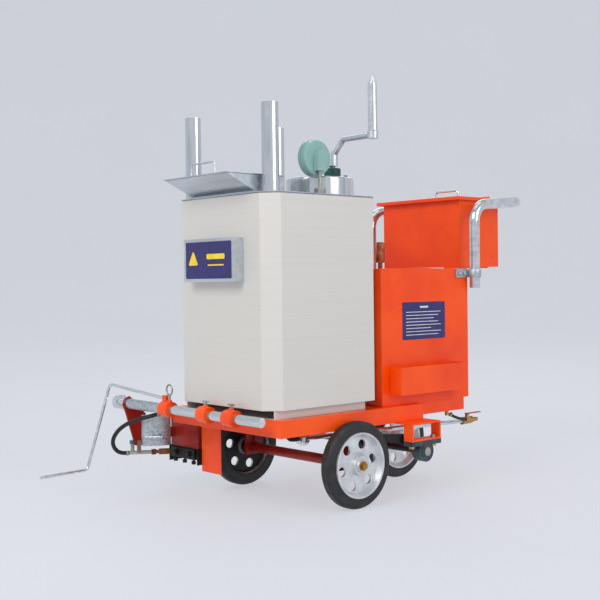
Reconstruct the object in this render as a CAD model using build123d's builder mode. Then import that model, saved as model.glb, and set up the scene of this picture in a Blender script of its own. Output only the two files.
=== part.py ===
from build123d import *
import os
from math import acos, atan2, cos, degrees, pi, radians, sin, sqrt, tan

# Hand-pushed thermoplastic road line striping machine. Machine axes, in millimetres:
# X = 0 is the middle plane and +X is the operator's left, away from the marking shoe,
# Y = 0 is the front axle with the front of the machine towards -Y, and Z = 0 is the road.
# save() moves every finished piece so that the row's origin is under the middle of its box.
ORIGIN_SHIFT = (113.5, -124.44, 0.0)

# ---- driving dimensions --------------------------------------------------------------
WHEEL_R = 125.0
TYRE_WIDTH = 33.0
RIM_R = 94.0
WHEEL_INNER_X = 240.0
AXLE_R = 10.0
RUNNING_GAP = 0.05
BODY_GAP = 0.3
SEAM_GAP = 0.2

RAIL_OUTER_X = 235.0
RAIL_INNER_X = 190.0
RAIL_Z = (224.0, 272.0)
REAR_RAIL_X = (168.0, 208.0)
REAR_RAIL_Z = (233.0, 272.0)
TUBE_WALL = 3.0
BEAM_Y = (-262.0, -212.0)
RAIL_JOIN_Y = 312.0
FRAME_END_Y = 537.0

CASING_X = 223.4
CASING_Y = (-283.0, 154.0)
CASING_Z = (297.6, 892.0)
CASING_CORNER = 41.6
SHEET = 2.0
TOP_PLATE_Z = (894.6, 897.6)
TANK_X = 199.0
TANK_Y = (-259.0, 130.0)
TANK_BOTTOM_Z = 345.0
TANK_CORNER_R = 75.0

CHIMNEY_R = 24.0
CHIMNEY_TOP_Z = 1142.0
CHIMNEY_PLACES = ((180.0, -240.0), (-180.0, -240.0), (-180.0, 88.0))
DIAL = (-80.0, 1000.0)
STEM_X = 205.0
CHUTE_X = 146.0
CHUTE_Y = (-270.0, -165.0)
CHUTE_LIP_Y = -366.0
CHUTE_TOP_Z = 946.0
FEED_HINGE = (-158.0, 948.0)

STIRRER = (105.0, 12.0)
CRANK = (112.0, 56.45)
DRUM_R = 100.0
DRUM_TOP_Z = 952.0
GEAR_MODULE = 2.5
PINION_TEETH = 12
GEAR_TEETH = 24
CRANK_SHAFT_R = 9.0
CRANK_ARM_Z = 1066.0
CRANK_RADIUS = 170.0

BOX_X = 210.0
BOX_Y = (158.0, 558.0)
BOX_Z = (272.0, 686.0)
BEAD_X = 171.0
BEAD_Y = (568.0, 768.0)
BEAD_Z = (692.0, 918.0)
BEAD_FLANGE_X = 184.0
BEAD_HINGE = (760.0, 927.0)
HANDLE_X = 232.0
HANDLE_Y = (568.0, 815.0)
HANDLE_LOW_Z = 623.0
HANDLE_TUBE_R = 17.0

BAR_Y = -310.0
BAR_Z = 271.0
BAR_R = 14.0
BAR_X = (-517.0, 213.0)
ARM_TUBE_R = 16.0
ARM_PLATE_X = (-452.0, -444.0)
COLLAR_R = 21.5
CLAMP_R = 23.5
CLAMPS_X = ((-255.0, -210.0), (-62.0, -19.0), (58.0, 102.0))
SCREWS_X = (-222.0, -40.5, 80.0)
SCREW_R = 4.0

SHOE_X = (-436.0, -288.0)
SHOE_Y = (-160.0, -62.0)
SHOE_Z = (126.0, 222.0)
SHOE_PIVOT = (-111.0, 165.0)
RUNNER_BOTTOM_Z = 76.0

FORK_PIVOT = (265.0, 136.2)
REAR_AXLE_Y = 437.0
LOOP_X = (255.0, 291.0)
LOOP_Y = (202.0, 328.0)
LOOP_Z = (169.5, 224.0)

OUTLET_Y = -135.0
OUTLET_Z = 372.0
OUTLET_R = 24.0
OUTLET_BORE_R = 22.0
OUTLET_VALVE_X = -250.0

PIPE_X = 165.0
PIPE_R = 7.0
PIPE_Y = (-112.0, 574.7)
PIPE_Z = (204.0, 186.0)

TORCH_HOSE_R = 6.5
TORCH_HOSE_ROUTE = [
    (-465, -301, 112), (-478, -324, 110), (-484, -346, 129), (-474, -357, 157), (-451, -356, 184),
    (-423, -350, 205), (-391, -340, 221), (-360, -322, 233), (-334, -302, 241), (-310, -284, 249),
]
GAS_HOSE_R = 4.5
GAS_HOSE_ROUTE = [(188, 486, 219), (191, 510, 208), (191, 536, 200), (189, 560, 195), (184, 582, 192)]

os.makedirs("parts", exist_ok=True)


# ---- helpers -------------------------------------------------------------------------
def save(piece, label):
    """Put a finished piece in the row's frame, name it and write it."""
    placed = piece.part.moved(Location(ORIGIN_SHIFT))
    placed.label = label
    export_step(placed, f"parts/{label}.step")


def block(x, y, z, mode=Mode.ADD):
    """Add a box, given by its low and high coordinates, to the part being built."""
    with Locations(((x[0] + x[1]) / 2, (y[0] + y[1]) / 2, (z[0] + z[1]) / 2)):
        Box(x[1] - x[0], y[1] - y[0], z[1] - z[0], mode=mode)


def rod(start, end, radius, mode=Mode.ADD):
    """Add a round bar from one point to another to the part being built."""
    axis = Vector(*end) - Vector(*start)
    with Locations(Plane(origin=start, z_dir=axis).location):
        Cylinder(radius, axis.length, align=(Align.CENTER, Align.CENTER, Align.MIN), mode=mode)


def hexagon(start, end, across_flats, mode=Mode.ADD):
    """Add a hexagonal bar from one point to another to the part being built."""
    axis = Vector(*end) - Vector(*start)
    with BuildSketch(Plane(origin=start, z_dir=axis)) as outline:
        RegularPolygon(across_flats / 2, 6, major_radius=False)
    extrude(outline.sketch, amount=axis.length, mode=mode)


def corner_radii(points):
    """The largest arc for each corner of a hose: 0.45 of its shorter run over tan(half the turn)."""
    radii = []
    for before, corner, after in zip(points, points[1:], points[2:]):
        run_in = Vector(*corner) - Vector(*before)
        run_out = Vector(*after) - Vector(*corner)
        turn = radians(run_in.get_angle(run_out))
        radii.append(0.45 * min(run_in.length, run_out.length) / tan(turn / 2))
    return radii


def box_tube(x, y, z, along, wall=TUBE_WALL):
    """Add a rectangular tube, open at both ends, that runs along X or Y."""
    block(x, y, z)
    inner_z = (z[0] + wall, z[1] - wall)
    if along == "X":
        block(x, (y[0] + wall, y[1] - wall), inner_z, mode=Mode.SUBTRACT)
    else:
        block((x[0] + wall, x[1] - wall), y, inner_z, mode=Mode.SUBTRACT)


def hinge_leaf(pivot, knuckles, pins, bore):
    """Add hinge knuckles along X at pivot (y, z): with stub pins, or with a running bore."""
    for low, high in knuckles:
        rod((low, *pivot), (high, *pivot), 5.0)
    for low, high in pins:
        rod((low, *pivot), (high, *pivot), 3.0)
    for low, high in bore:
        rod((low, *pivot), (high, *pivot), 3.0 + RUNNING_GAP, mode=Mode.SUBTRACT)


def gear_outline(teeth, phase):
    """Involute tooth points round a gear centred on the sketch's origin, thinned for backlash."""
    pitch_r = GEAR_MODULE * teeth / 2
    base_r = pitch_r * cos(radians(20))
    tip_r = pitch_r + 0.9 * GEAR_MODULE
    root_r = pitch_r - 1.25 * GEAR_MODULE
    involute = lambda r: tan(acos(base_r / r)) - acos(base_r / r)
    half_tooth = pi / (2 * teeth) * 0.94 + involute(pitch_r)
    flank_radii = [base_r + (tip_r - base_r) * step / 4 for step in range(5)]
    points = []
    for tooth in range(teeth):
        centre = phase + 2 * pi * tooth / teeth
        flank = [(root_r, half_tooth)] + [(r, half_tooth - involute(r)) for r in flank_radii]
        points += [(r * cos(centre - a), r * sin(centre - a)) for r, a in flank]
        points += [(r * cos(centre + a), r * sin(centre + a)) for r, a in reversed(flank)]
    return points


def wheel_plane(inner_x, y, out):
    """A plane with the wheel's axle along its x axis, pointing outwards, and the radius along y."""
    return Plane(origin=(inner_x, y, WHEEL_R), x_dir=(out, 0, 0), z_dir=(0, -out, 0))


# ---- frame ---------------------------------------------------------------------------
with BuildPart() as frame_tubes:
    for side in (-1, 1):
        front_rail_x = sorted((side * RAIL_INNER_X, side * RAIL_OUTER_X))
        box_tube(front_rail_x, (BEAM_Y[1], RAIL_JOIN_Y), RAIL_Z, "Y")
        rear_rail_x = sorted((side * REAR_RAIL_X[0], side * REAR_RAIL_X[1]))
        box_tube(rear_rail_x, (RAIL_JOIN_Y, FRAME_END_Y), REAR_RAIL_Z, "Y")
    box_tube((-275, RAIL_OUTER_X), BEAM_Y, RAIL_Z, "X")
    for cap_x in ((-275, -275 + TUBE_WALL), (RAIL_OUTER_X - TUBE_WALL, RAIL_OUTER_X)):
        block(cap_x, BEAM_Y, RAIL_Z)
    box_tube((-RAIL_INNER_X, RAIL_INNER_X), (140, 180), REAR_RAIL_Z, "X")
    box_tube((-RAIL_INNER_X, RAIL_INNER_X), (282, RAIL_JOIN_Y), REAR_RAIL_Z, "X")
    box_tube((-REAR_RAIL_X[0], REAR_RAIL_X[0]), (FRAME_END_Y - 32, FRAME_END_Y), (247, 272), "X")
save(frame_tubes, "frame_tubes")

# Bent plate in front of the left wheel, welded under the left rail.
with BuildPart() as wheel_guard:
    with BuildSketch(Plane.YZ.offset(-278)):
        with BuildLine():
            Polyline((-153, 58), (-153, 205), (-134, 224), (-130, 224), (-150, 204), (-150, 58), close=True)
        make_face()
    extrude(amount=98)
save(wheel_guard, "wheel_guard")

# Plates that carry the front axle tube below the rails, each with a gusset.
with BuildPart() as axle_hangers:
    for side in (-1, 1):
        x = sorted((side * 204, side * 212))
        block(x, (-34, 34), (104, RAIL_Z[0]))
        rod((x[0], 0, WHEEL_R), (x[1], 0, WHEEL_R), 15.0, mode=Mode.SUBTRACT)
        inner = sorted((side * 196, side * 204))
        block(inner, (-4, 4), (142, RAIL_Z[0]))
save(axle_hangers, "axle_hangers")

with BuildPart() as front_axle:
    rod((-241, 0, WHEEL_R), (241, 0, WHEEL_R), 15.0)
    rod((-286.4, 0, WHEEL_R), (286.4, 0, WHEEL_R), AXLE_R)
save(front_axle, "front_axle")


# ---- wheels --------------------------------------------------------------------------
def make_tyre(label, inner_x, y, out):
    """Solid rubber tyre with rounded shoulders."""
    plane = wheel_plane(inner_x, y, out)
    with BuildPart() as tyre:
        with BuildSketch(plane):
            with Locations((TYRE_WIDTH / 2, (RIM_R + WHEEL_R) / 2)):
                Rectangle(TYRE_WIDTH, WHEEL_R - RIM_R)
        revolve(axis=Axis((inner_x, y, WHEEL_R), (1, 0, 0)))
        fillet(tyre.edges().filter_by(GeomType.CIRCLE).group_by(SortBy.RADIUS)[-1], 9.0)
    save(tyre, label)


def make_rim(label, inner_x, y, out):
    """Dished cast rim with six round holes and a stepped hub."""
    plane = wheel_plane(inner_x, y, out)
    bore_r = AXLE_R + RUNNING_GAP
    with BuildPart() as rim:
        with BuildSketch(plane):
            with BuildLine():
                Polyline(
                    (0, RIM_R), (0, 88), (12, 86), (15, 80), (15, 27), (2, 25), (2, bore_r), (46, bore_r),
                    (46, 18), (40, 20), (40, 27), (30, 31), (22, 38), (22, 79), (30, 84), (38, 88),
                    (40, 90), (40, 92.5), (38.5, RIM_R), close=True,
                )
            make_face()
        revolve(axis=Axis((inner_x, y, WHEEL_R), (1, 0, 0)))
        with BuildSketch(Plane(origin=(inner_x, y, WHEEL_R), x_dir=(0, out, 0), z_dir=(out, 0, 0))):
            with PolarLocations(61, 6, start_angle=12):
                Circle(14)
        extrude(amount=30, mode=Mode.SUBTRACT)
    save(rim, label)


make_tyre("front_tyre_right", WHEEL_INNER_X, 0, 1)
make_rim("front_rim_right", WHEEL_INNER_X, 0, 1)
make_tyre("front_tyre_left", -WHEEL_INNER_X, 0, -1)
make_rim("front_rim_left", -WHEEL_INNER_X, 0, -1)
make_tyre("rear_tyre", -TYRE_WIDTH / 2, REAR_AXLE_Y, 1)
make_rim("rear_rim", -TYRE_WIDTH / 2, REAR_AXLE_Y, 1)

# ---- rear wheel carrier --------------------------------------------------------------
with BuildPart() as rear_carrier:
    block((-LOOP_X[1], LOOP_X[1]), LOOP_Y, (LOOP_Z[1] - 5, LOOP_Z[1]))
    for side in (-1, 1):
        x = sorted((side * LOOP_X[0], side * LOOP_X[1]))
        block(x, LOOP_Y, LOOP_Z)
        block(x, (LOOP_Y[0] + 5, LOOP_Y[1] - 5), (LOOP_Z[0] + 5, LOOP_Z[1] - 5), mode=Mode.SUBTRACT)
        for bolt_y in (217.5, 312.5):
            rod((side * 273, bolt_y, LOOP_Z[0]), (side * 273, bolt_y, LOOP_Z[0] + 5), 5.0, mode=Mode.SUBTRACT)
save(rear_carrier, "rear_carrier")

# Cast pillow blocks, bolted upside down under the loops.
with BuildPart() as pillow_blocks:
    for side in (-1, 1):
        base_x = sorted((side * 254, side * 291))
        block(base_x, (201.5, 328.5), (155.5, LOOP_Z[0]))
        rod((side * 257, *FORK_PIVOT), (side * 289, *FORK_PIVOT), 31.0)
        rod((side * 255, *FORK_PIVOT), (side * 291, *FORK_PIVOT), 22.0)
        rod((side * 250, *FORK_PIVOT), (side * 295, *FORK_PIVOT), AXLE_R + RUNNING_GAP, mode=Mode.SUBTRACT)
        for bolt_y in (217.5, 312.5):
            rod((side * 273, bolt_y, 150), (side * 273, bolt_y, LOOP_Z[0]), 5.0, mode=Mode.SUBTRACT)
save(pillow_blocks, "pillow_blocks")

# Hub bolts with their washers, and the bolts, nuts and washers of the pillow blocks.
with BuildPart() as frame_bolts:
    for side in (-1, 1):
        rod((side * 286.4, 0, WHEEL_R), (side * 288.4, 0, WHEEL_R), 14.0)
        hexagon((side * 288.4, 0, WHEEL_R), (side * 294, 0, WHEEL_R), 19.0)
        for bolt_y in (217.5, 312.5):
            x = side * 273
            rod((x, bolt_y, 147), (x, bolt_y, 182), 5.0)
            rod((x, bolt_y, 153.5), (x, bolt_y, 155.5), 10.0)
            hexagon((x, bolt_y, 147), (x, bolt_y, 153.5), 16.0)
            hexagon((x, bolt_y, 174.5), (x, bolt_y, 181), 16.0)
save(frame_bolts, "frame_bolts")

# Trailing fork: its cross shaft turns in the pillow blocks and its axle carries the rear wheel.
with BuildPart() as rear_fork:
    rod((-292.6, *FORK_PIVOT), (292.6, *FORK_PIVOT), AXLE_R)
    for side in (-1, 1):
        rod((side * 291.6, *FORK_PIVOT), (side * 294, *FORK_PIVOT), 13.0)
        with BuildSketch(Plane.YZ.offset(min(side * 33, side * 41))):
            with BuildLine():
                Line((FORK_PIVOT[0], FORK_PIVOT[1] + 24), (REAR_AXLE_Y, WHEEL_R + 20))
                ThreePointArc(
                    (REAR_AXLE_Y, WHEEL_R + 20), (REAR_AXLE_Y + 20, WHEEL_R), (REAR_AXLE_Y, WHEEL_R - 20))
                Line((REAR_AXLE_Y, WHEEL_R - 20), (FORK_PIVOT[0], FORK_PIVOT[1] - 24))
                ThreePointArc(
                    (FORK_PIVOT[0], FORK_PIVOT[1] - 24), (FORK_PIVOT[0] - 24, FORK_PIVOT[1]),
                    (FORK_PIVOT[0], FORK_PIVOT[1] + 24))
            make_face()
        extrude(amount=8)
    rod((-62, *FORK_PIVOT), (62, *FORK_PIVOT), 17.0)
    block((-41, 41), (284, 300), (106, 168))
    rod((-52, REAR_AXLE_Y, WHEEL_R), (52, REAR_AXLE_Y, WHEEL_R), AXLE_R)
    rod((-33, REAR_AXLE_Y, WHEEL_R), (-14.9, REAR_AXLE_Y, WHEEL_R), 14.0)
    rod((29.9, REAR_AXLE_Y, WHEEL_R), (33, REAR_AXLE_Y, WHEEL_R), 14.0)
    hexagon((41, REAR_AXLE_Y, WHEEL_R), (50, REAR_AXLE_Y, WHEEL_R), 30.0)
    hexagon((-50, REAR_AXLE_Y, WHEEL_R), (-41, REAR_AXLE_Y, WHEEL_R), 30.0)
save(rear_fork, "rear_fork")


# ---- heated tank ---------------------------------------------------------------------
def casing_outline(inset):
    """Add the casing's outline, a rectangle with cut corners, moved inwards by inset."""
    corner = CASING_CORNER - inset * (2 - sqrt(2))
    with Locations((0, (CASING_Y[0] + CASING_Y[1]) / 2)):
        outline = Rectangle(2 * (CASING_X - inset), CASING_Y[1] - CASING_Y[0] - 2 * inset)
    chamfer(outline.vertices(), corner)


with BuildPart() as casing:
    with BuildSketch(Plane.XY.offset(CASING_Z[0])) as casing_outer:
        casing_outline(0)
    extrude(amount=CASING_Z[1] - CASING_Z[0])
    with BuildSketch(Plane.XY.offset(CASING_Z[0])) as casing_inner:
        casing_outline(SHEET)
    extrude(amount=CASING_Z[1] - CASING_Z[0], mode=Mode.SUBTRACT)
    rod((-230, OUTLET_Y, OUTLET_Z), (-215, OUTLET_Y, OUTLET_Z), OUTLET_R, mode=Mode.SUBTRACT)
save(casing, "casing")

with BuildPart() as insulation:
    with BuildSketch(Plane.XY.offset(310)) as wool_outer:
        casing_outline(SHEET)
    extrude(amount=570)
    with BuildSketch(Plane.XY.offset(310)) as wool_inner:
        casing_outline(SHEET + 10)
    extrude(amount=570, mode=Mode.SUBTRACT)
    rod((-230, OUTLET_Y, OUTLET_Z), (-200, OUTLET_Y, OUTLET_Z), OUTLET_R, mode=Mode.SUBTRACT)
save(insulation, "insulation")

with BuildPart() as inner_tank:
    block((-TANK_X, TANK_X), TANK_Y, (TANK_BOTTOM_Z, TOP_PLATE_Z[0]))
    fillet(inner_tank.edges().filter_by(Axis.Z), TANK_CORNER_R)
    offset(amount=-3, openings=inner_tank.faces().sort_by(Axis.Z)[-1])
    rod((-210, OUTLET_Y, OUTLET_Z), (-180, OUTLET_Y, OUTLET_Z), OUTLET_BORE_R, mode=Mode.SUBTRACT)
save(inner_tank, "inner_tank")

# Two-step cover: a sheet that overhangs the casing, on a smaller tray that drops inside it.
with BuildPart() as top_plate:
    with BuildSketch(Plane.XY.offset(TOP_PLATE_Z[0])) as cover:
        casing_outline(-1.5)
    extrude(amount=TOP_PLATE_Z[1] - TOP_PLATE_Z[0])
    band_low, band_height = CASING_Z[1] - 12, TOP_PLATE_Z[0] - CASING_Z[1] + 12 - SEAM_GAP
    with BuildSketch(Plane.XY.offset(band_low)) as band_outer:
        casing_outline(SHEET + 0.4)
    extrude(amount=band_height)
    with BuildSketch(Plane.XY.offset(band_low)) as band_inner:
        casing_outline(2 * SHEET + 0.4)
    extrude(amount=band_height, mode=Mode.SUBTRACT)
    block((-CHUTE_X + 6, CHUTE_X - 6), (CHUTE_Y[0] + 12, CHUTE_Y[1] - 2), TOP_PLATE_Z, mode=Mode.SUBTRACT)
    for x, y in CHIMNEY_PLACES:
        rod((x, y, TOP_PLATE_Z[0]), (x, y, TOP_PLATE_Z[1]), CHIMNEY_R - 1, mode=Mode.SUBTRACT)
    rod((*STIRRER, TOP_PLATE_Z[1]), (*STIRRER, 911), 20.0)
    rod((*STIRRER, TOP_PLATE_Z[0]), (*STIRRER, 911), 10.0 + RUNNING_GAP, mode=Mode.SUBTRACT)
    rod((STEM_X, DIAL[0], TOP_PLATE_Z[0]), (STEM_X, DIAL[0], TOP_PLATE_Z[1]), 5.0, mode=Mode.SUBTRACT)
save(top_plate, "top_plate")

with BuildPart() as plinth:
    skirt_y = (-259.0, 91.0)
    block((-205, 205), skirt_y, (RAIL_Z[1], CASING_Z[0]))
    block((-203, 203), (skirt_y[0], skirt_y[1] - 2), (RAIL_Z[1] + 2, CASING_Z[0]), mode=Mode.SUBTRACT)
    rod((0, -64.5, RAIL_Z[1]), (0, -64.5, RAIL_Z[1] + 2), 85.0, mode=Mode.SUBTRACT)
save(plinth, "plinth")

with BuildPart() as chimneys:
    for x, y in CHIMNEY_PLACES:
        rod((x, y, TOP_PLATE_Z[1]), (x, y, CHIMNEY_TOP_Z), CHIMNEY_R)
        rod((x, y, TOP_PLATE_Z[1]), (x, y, CHIMNEY_TOP_Z), CHIMNEY_R - 2, mode=Mode.SUBTRACT)
save(chimneys, "chimneys")

# Feed chute: a box whose front slopes out under the lid, with fixed hinge knuckles at the back.
with BuildPart() as feed_chute:
    with BuildSketch(Plane.YZ.offset(-CHUTE_X)):
        with BuildLine():
            Polyline(
                (CHUTE_Y[0], TOP_PLATE_Z[1]), (CHUTE_Y[1], TOP_PLATE_Z[1]), (CHUTE_Y[1], CHUTE_TOP_Z),
                (CHUTE_LIP_Y, CHUTE_TOP_Z), (CHUTE_Y[0], 902), close=True,
            )
        make_face()
    extrude(amount=2 * CHUTE_X)
    with BuildSketch(Plane.YZ.offset(-CHUTE_X + SHEET)):
        with BuildLine():
            Polyline(
                (CHUTE_Y[0] + 2, TOP_PLATE_Z[1] - 1), (CHUTE_Y[1] - 2, TOP_PLATE_Z[1] - 1),
                (CHUTE_Y[1] - 2, CHUTE_TOP_Z + 1), (CHUTE_LIP_Y + 2.6, CHUTE_TOP_Z + 1),
                (CHUTE_Y[0] + 2, 903), close=True,
            )
        make_face()
    extrude(amount=2 * (CHUTE_X - SHEET), mode=Mode.SUBTRACT)
    for low, high in ((-120, -80), (80, 120)):
        block((low, high), (CHUTE_Y[1], CHUTE_Y[1] + 3), (925, 945))
        block((low, high), (CHUTE_Y[1], FEED_HINGE[0]), (943.5, 946))
    hinge_leaf(FEED_HINGE, ((-120, -80), (80, 120)), ((-80, -44), (44, 80)), ())
save(feed_chute, "feed_chute")

with BuildPart() as feed_lid:
    block((-150, 150), (-370, -163.4), (CHUTE_TOP_Z + 0.5, CHUTE_TOP_Z + 3.5))
    for low, high in ((-79.5, -40), (40, 79.5)):
        block((low, high), (-164, FEED_HINGE[0]), (CHUTE_TOP_Z + 0.5, CHUTE_TOP_Z + 3.5))
    hinge_leaf(FEED_HINGE, ((-79.5, -40), (40, 79.5)), (), ((-79.5, -40), (40, 79.5)))
    handle_foot_z = CHUTE_TOP_Z + 3.5
    with BuildLine(mode=Mode.PRIVATE) as bail:
        FilletPolyline(
            (-56, -337, handle_foot_z), (-56, -337, 986), (56, -337, 986), (56, -337, handle_foot_z), radius=9)
    with BuildSketch(Plane(origin=(-56, -337, handle_foot_z), z_dir=(0, 0, 1))) as wire:
        Circle(3)
    sweep(wire.sketch, path=bail.line)
save(feed_lid, "feed_lid")

with BuildPart() as drum:
    rod((*STIRRER, TOP_PLATE_Z[1]), (*STIRRER, DRUM_TOP_Z), DRUM_R)
    fillet(drum.edges().filter_by(GeomType.CIRCLE).sort_by(Axis.Z)[-1], 6.0)
    rod((*STIRRER, TOP_PLATE_Z[1]), (*STIRRER, DRUM_TOP_Z - 4), DRUM_R - 3, mode=Mode.SUBTRACT)
    rod((*CRANK, DRUM_TOP_Z - 5), (*CRANK, DRUM_TOP_Z), CRANK_SHAFT_R + 1, mode=Mode.SUBTRACT)
save(drum, "drum")

with BuildPart() as crank_bearing:
    block((62, 162), (30, 82), (DRUM_TOP_Z, DRUM_TOP_Z + 4))
    fillet(crank_bearing.edges().filter_by(Axis.Z), 8)
    rod((*CRANK, DRUM_TOP_Z + 4), (*CRANK, DRUM_TOP_Z + 33), 25.0)
    fillet(crank_bearing.edges().filter_by(GeomType.CIRCLE).sort_by(Axis.Z)[-1], 3)
    for x in (72, 152):
        for y in (40, 72):
            hexagon((x, y, DRUM_TOP_Z + 4), (x, y, DRUM_TOP_Z + 10), 10.0)
    rod((*CRANK, DRUM_TOP_Z), (*CRANK, DRUM_TOP_Z + 33), CRANK_SHAFT_R + RUNNING_GAP, mode=Mode.SUBTRACT)
save(crank_bearing, "crank_bearing")

# ---- stirrer drive: the crank's pinion turns the stirrer's gear at half speed ---------
line_of_centres = atan2(CRANK[1] - STIRRER[1], CRANK[0] - STIRRER[0])

with BuildPart() as crank_shaft:
    with BuildSketch(Plane.XY.offset(914)):
        with Locations(CRANK):
            with BuildLine(mode=Mode.PRIVATE) as pinion_teeth:
                Polyline(*gear_outline(PINION_TEETH, line_of_centres + pi + pi / PINION_TEETH), close=True)
            add(make_face(pinion_teeth.line, mode=Mode.PRIVATE))
    extrude(amount=24)
    rod((*CRANK, 902), (*CRANK, 1030), CRANK_SHAFT_R)
save(crank_shaft, "crank_shaft")

with BuildPart() as stirrer:
    with BuildSketch(Plane.XY.offset(916)):
        with Locations(STIRRER):
            with BuildLine(mode=Mode.PRIVATE) as gear_teeth:
                Polyline(*gear_outline(GEAR_TEETH, line_of_centres), close=True)
            add(make_face(gear_teeth.line, mode=Mode.PRIVATE))
    extrude(amount=20)
    rod((*STIRRER, 362), (*STIRRER, 944), 10.0)
    rod((*STIRRER, 911.3), (*STIRRER, 916), 16.0)
    rod((*STIRRER, 880), (*STIRRER, 894), 16.0)
    for level, turn in ((372, 0), (470, 60), (568, 120)):
        with Locations(Location((*STIRRER, level), (0, 0, turn))):
            with Locations((0, 0, 9)):
                Box(156, 8, 22)
        rod((*STIRRER, level - 6), (*STIRRER, level + 24), 17.0)
save(stirrer, "stirrer")

with BuildPart() as crank_arm:
    hub_top = 1036.0
    rod((*CRANK, 992), (*CRANK, hub_top), 17.5)
    with BuildLine(mode=Mode.PRIVATE) as arm_path:
        FilletPolyline(
            (CRANK[0], CRANK[1], 1018), (CRANK[0] + 48, CRANK[1], CRANK_ARM_Z),
            (CRANK[0] + CRANK_RADIUS, CRANK[1], CRANK_ARM_Z), radius=22)
    with BuildSketch(Plane(origin=arm_path.line @ 0, z_dir=arm_path.line % 0, x_dir=(0, 1, 0))) as arm_section:
        Ellipse(9.5, 8.0)
    sweep(arm_section.sketch, path=arm_path.line)
    grip_x = CRANK[0] + CRANK_RADIUS
    rod((grip_x, CRANK[1], CRANK_ARM_Z - 10), (grip_x, CRANK[1], CRANK_ARM_Z + 10), 16.0)
    rod((grip_x, CRANK[1], CRANK_ARM_Z + 10), (grip_x, CRANK[1], 1234), 5.0)
    rod((grip_x, CRANK[1], 1216), (grip_x, CRANK[1], 1222), 9.0)
    rod((*CRANK, 985), (*CRANK, 1030), CRANK_SHAFT_R, mode=Mode.SUBTRACT)
save(crank_arm, "crank_arm")

with BuildPart() as crank_grip:
    rod((grip_x, CRANK[1], CRANK_ARM_Z + 10.5), (grip_x, CRANK[1], 1215.5), 13.5)
    fillet(crank_grip.edges().filter_by(GeomType.CIRCLE), 2)
    rod((grip_x, CRANK[1], CRANK_ARM_Z + 10), (grip_x, CRANK[1], 1216), 5.0 + RUNNING_GAP, mode=Mode.SUBTRACT)
save(crank_grip, "crank_grip")

# ---- thermometer, seen from behind: its dial faces -X --------------------------------
with BuildPart() as thermometer_case:
    rod((178, *DIAL), (198, *DIAL), 50.0)
    fillet(thermometer_case.edges().filter_by(GeomType.CIRCLE).sort_by(Axis.X)[-1], 3)
    rod((171, *DIAL), (178, *DIAL), 52.0)
    rod((171, *DIAL), (175, *DIAL), 46.0, mode=Mode.SUBTRACT)
    block((198, 217), (DIAL[0] - 15, DIAL[0] + 15), (962, 1005))
    rod((198, DIAL[0], 1005), (217, DIAL[0], 1005), 15.0)
save(thermometer_case, "thermometer_case")

with BuildPart() as thermometer_stem:
    rod((STEM_X, DIAL[0], 700), (STEM_X, DIAL[0], 962), 5.0)
    hexagon((STEM_X, DIAL[0], 946), (STEM_X, DIAL[0], 962), 12.0)
    hexagon((STEM_X, DIAL[0], TOP_PLATE_Z[1]), (STEM_X, DIAL[0], 912), 30.0)
save(thermometer_stem, "thermometer_stem")

# ---- sign box on the tank's front ----------------------------------------------------
with BuildPart() as info_box:
    block((-125, 110), (-318, CASING_Y[0]), (652, 775))
    block((-122, 107), (-315, CASING_Y[0]), (655, 772), mode=Mode.SUBTRACT)
save(info_box, "info_box")

# ---- paint outlet: pipe from the tank over the shoe, with a turning disc in it --------
ELBOW_X = -320.0
OUTLET_MOUTH_Z = 255.0
with BuildPart() as outlet_pipe:
    with BuildLine(mode=Mode.PRIVATE) as elbow:
        FilletPolyline(
            (-TANK_X, OUTLET_Y, OUTLET_Z), (ELBOW_X, OUTLET_Y, OUTLET_Z), (ELBOW_X, OUTLET_Y, OUTLET_MOUTH_Z),
            radius=45)
    with BuildSketch(Plane(origin=(-TANK_X, OUTLET_Y, OUTLET_Z), z_dir=(-1, 0, 0))) as pipe_ring:
        Circle(OUTLET_R)
        Circle(OUTLET_BORE_R, mode=Mode.SUBTRACT)
    sweep(pipe_ring.sketch, path=elbow.line)
    spindle_low = (OUTLET_VALVE_X, OUTLET_Y, OUTLET_Z + 20)
    spindle_high = (OUTLET_VALVE_X, OUTLET_Y, OUTLET_Z + 34)
    rod((OUTLET_VALVE_X, OUTLET_Y, OUTLET_Z + 22.5), spindle_high, 9.0)
    rod(spindle_low, spindle_high, 5.0 + RUNNING_GAP, mode=Mode.SUBTRACT)
save(outlet_pipe, "outlet_pipe")

with BuildPart() as outlet_lever:
    rod((OUTLET_VALVE_X - 2, OUTLET_Y, OUTLET_Z), (OUTLET_VALVE_X + 2, OUTLET_Y, OUTLET_Z), 21.5)
    rod((OUTLET_VALVE_X, OUTLET_Y, OUTLET_Z), (OUTLET_VALVE_X, OUTLET_Y, OUTLET_Z + 46), 5.0)
    block((OUTLET_VALVE_X - 9, OUTLET_VALVE_X + 9), (OUTLET_Y - 10, OUTLET_Y + 130), (408, 412))
    fillet(outlet_lever.edges().filter_by(Axis.Z), 4)
save(outlet_lever, "outlet_lever")

# ---- rear boxes ----------------------------------------------------------------------
with BuildPart() as lower_box:
    block((-BOX_X, BOX_X), BOX_Y, BOX_Z)
    offset(amount=-2.5, openings=lower_box.faces().sort_by(Axis.Z)[-1])
    rim_z = (BOX_Z[1] - 2.5, BOX_Z[1])
    block((-BOX_X, BOX_X), BOX_Y, rim_z)
    block((-BOX_X + 5, BOX_X - 5), (BOX_Y[0] + 5, BOX_Y[1] - 5), rim_z, mode=Mode.SUBTRACT)
save(lower_box, "lower_box")

with BuildPart() as side_tray:
    tray_x = (BOX_X, BOX_X + 49)
    block(tray_x, (191, 487), (306, 390))
    block((tray_x[0] + 2, tray_x[1] - 2), (193, 485), (308, 390), mode=Mode.SUBTRACT)
save(side_tray, "side_tray")

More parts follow.
